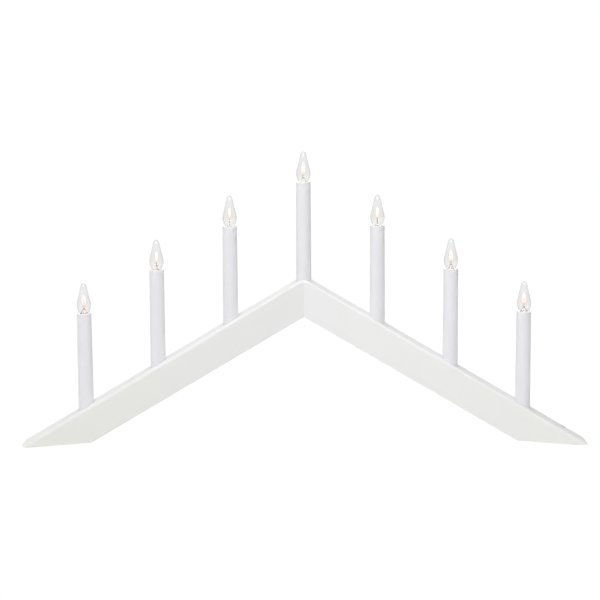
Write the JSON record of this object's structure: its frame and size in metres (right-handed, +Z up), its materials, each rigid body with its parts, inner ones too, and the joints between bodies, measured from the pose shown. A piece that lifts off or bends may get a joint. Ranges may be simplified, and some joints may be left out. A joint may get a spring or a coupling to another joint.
{
  "type": "window candlestick",
  "caption": "Electric window candlestick: a white inverted-V wooden frame with upright candle tubes along its sloping arms, each with a clear flame-shaped screw lamp.",
  "frame": {"origin": "on the standing plane, straight below the mitre at the apex, at the middle of the arms' depth", "axes": "+Z up, +X to the right along the width as seen from the front, front towards -Y"},
  "size_m": [0.6326, 0.034, 0.3272],
  "materials": {
    "paint": "matt white paint over wood",
    "bare_wood": "plain beech",
    "tube_plastic": "satin white",
    "holder_plastic": "moulded, off-white",
    "inlet_plastic": "white",
    "lead_insulation": "white insulation",
    "clear_glass": "clear",
    "brass": "rolled thread",
    "solder": "tinned",
    "glowing_wire": "fine wire, lit"
  },
  "bodies": {
    "frame": {"arm_left": "paint", "arm_right": "paint", "groove_cover_left": "paint", "groove_cover_right": "paint", "cord_inlet": "inlet_plastic", "mitre_dowel_lower": "bare_wood", "mitre_dowel_upper": "bare_wood", "return_lead": "lead_insulation", "feed_lead": "lead_insulation", "link_lead_1": "lead_insulation", "link_lead_2": "lead_insulation", "link_lead_3": "lead_insulation", "link_lead_4": "lead_insulation", "link_lead_5": "lead_insulation", "link_lead_6": "lead_insulation", "candle_tube_1": "tube_plastic", "lamp_holder_1": "holder_plastic", "candle_tube_2": "tube_plastic", "lamp_holder_2": "holder_plastic", "candle_tube_3": "tube_plastic", "lamp_holder_3": "holder_plastic", "candle_tube_4": "tube_plastic", "lamp_holder_4": "holder_plastic", "candle_tube_5": "tube_plastic", "lamp_holder_5": "holder_plastic", "candle_tube_6": "tube_plastic", "lamp_holder_6": "holder_plastic", "candle_tube_7": "tube_plastic", "lamp_holder_7": "holder_plastic"},
    "bulb_contact_1": {"bulb_contact_1": "solder"},
    "bulb_1": {"bulb_glass_1": "clear_glass", "bulb_cap_1": "brass", "bulb_filament_1": "glowing_wire"},
    "bulb_contact_2": {"bulb_contact_2": "solder"},
    "bulb_2": {"bulb_glass_2": "clear_glass", "bulb_cap_2": "brass", "bulb_filament_2": "glowing_wire"},
    "bulb_contact_3": {"bulb_contact_3": "solder"},
    "bulb_3": {"bulb_glass_3": "clear_glass", "bulb_cap_3": "brass", "bulb_filament_3": "glowing_wire"},
    "bulb_contact_4": {"bulb_contact_4": "solder"},
    "bulb_4": {"bulb_glass_4": "clear_glass", "bulb_cap_4": "brass", "bulb_filament_4": "glowing_wire"},
    "bulb_contact_5": {"bulb_contact_5": "solder"},
    "bulb_5": {"bulb_glass_5": "clear_glass", "bulb_cap_5": "brass", "bulb_filament_5": "glowing_wire"},
    "bulb_contact_6": {"bulb_contact_6": "solder"},
    "bulb_6": {"bulb_glass_6": "clear_glass", "bulb_cap_6": "brass", "bulb_filament_6": "glowing_wire"},
    "bulb_contact_7": {"bulb_contact_7": "solder"},
    "bulb_7": {"bulb_glass_7": "clear_glass", "bulb_cap_7": "brass", "bulb_filament_7": "glowing_wire"}
  },
  "joints": [
    {"name": "bulb_1_rise", "type": "slide", "parent": "frame", "child": "bulb_contact_1", "axis": [0, 0, 1], "range_m": [0, 0.0073]},
    {"name": "bulb_1_unscrew", "type": "hinge", "parent": "bulb_contact_1", "child": "bulb_1", "pos_m": [-0.2448, 0, 0.14835], "axis": [0, 0, 1], "range_deg": [0, 1440]},
    {"name": "bulb_2_rise", "type": "slide", "parent": "frame", "child": "bulb_contact_2", "axis": [0, 0, 1], "range_m": [0, 0.0073]},
    {"name": "bulb_2_unscrew", "type": "hinge", "parent": "bulb_contact_2", "child": "bulb_2", "pos_m": [-0.1632, 0, 0.1968], "axis": [0, 0, 1], "range_deg": [0, 1440]},
    {"name": "bulb_3_rise", "type": "slide", "parent": "frame", "child": "bulb_contact_3", "axis": [0, 0, 1], "range_m": [0, 0.0073]},
    {"name": "bulb_3_unscrew", "type": "hinge", "parent": "bulb_contact_3", "child": "bulb_3", "pos_m": [-0.0816, 0, 0.24526], "axis": [0, 0, 1], "range_deg": [0, 1440]},
    {"name": "bulb_4_rise", "type": "slide", "parent": "frame", "child": "bulb_contact_4", "axis": [0, 0, 1], "range_m": [0, 0.0073]},
    {"name": "bulb_4_unscrew", "type": "hinge", "parent": "bulb_contact_4", "child": "bulb_4", "pos_m": [0, 0, 0.2937], "axis": [0, 0, 1], "range_deg": [0, 1440]},
    {"name": "bulb_5_rise", "type": "slide", "parent": "frame", "child": "bulb_contact_5", "axis": [0, 0, 1], "range_m": [0, 0.0073]},
    {"name": "bulb_5_unscrew", "type": "hinge", "parent": "bulb_contact_5", "child": "bulb_5", "pos_m": [0.0816, 0, 0.24526], "axis": [0, 0, 1], "range_deg": [0, 1440]},
    {"name": "bulb_6_rise", "type": "slide", "parent": "frame", "child": "bulb_contact_6", "axis": [0, 0, 1], "range_m": [0, 0.0073]},
    {"name": "bulb_6_unscrew", "type": "hinge", "parent": "bulb_contact_6", "child": "bulb_6", "pos_m": [0.1632, 0, 0.1968], "axis": [0, 0, 1], "range_deg": [0, 1440]},
    {"name": "bulb_7_rise", "type": "slide", "parent": "frame", "child": "bulb_contact_7", "axis": [0, 0, 1], "range_m": [0, 0.0073]},
    {"name": "bulb_7_unscrew", "type": "hinge", "parent": "bulb_contact_7", "child": "bulb_7", "pos_m": [0.2448, 0, 0.14835], "axis": [0, 0, 1], "range_deg": [0, 1440]}
  ],
  "couplings": [
    {"joint": "bulb_1_rise", "follows": "bulb_1_unscrew", "m_per_rad": 0.00028871},
    {"joint": "bulb_2_rise", "follows": "bulb_2_unscrew", "m_per_rad": 0.00028871},
    {"joint": "bulb_3_rise", "follows": "bulb_3_unscrew", "m_per_rad": 0.00028871},
    {"joint": "bulb_4_rise", "follows": "bulb_4_unscrew", "m_per_rad": 0.00028871},
    {"joint": "bulb_5_rise", "follows": "bulb_5_unscrew", "m_per_rad": 0.00028871},
    {"joint": "bulb_6_rise", "follows": "bulb_6_unscrew", "m_per_rad": 0.00028871},
    {"joint": "bulb_7_rise", "follows": "bulb_7_unscrew", "m_per_rad": 0.00028871}
  ]
}
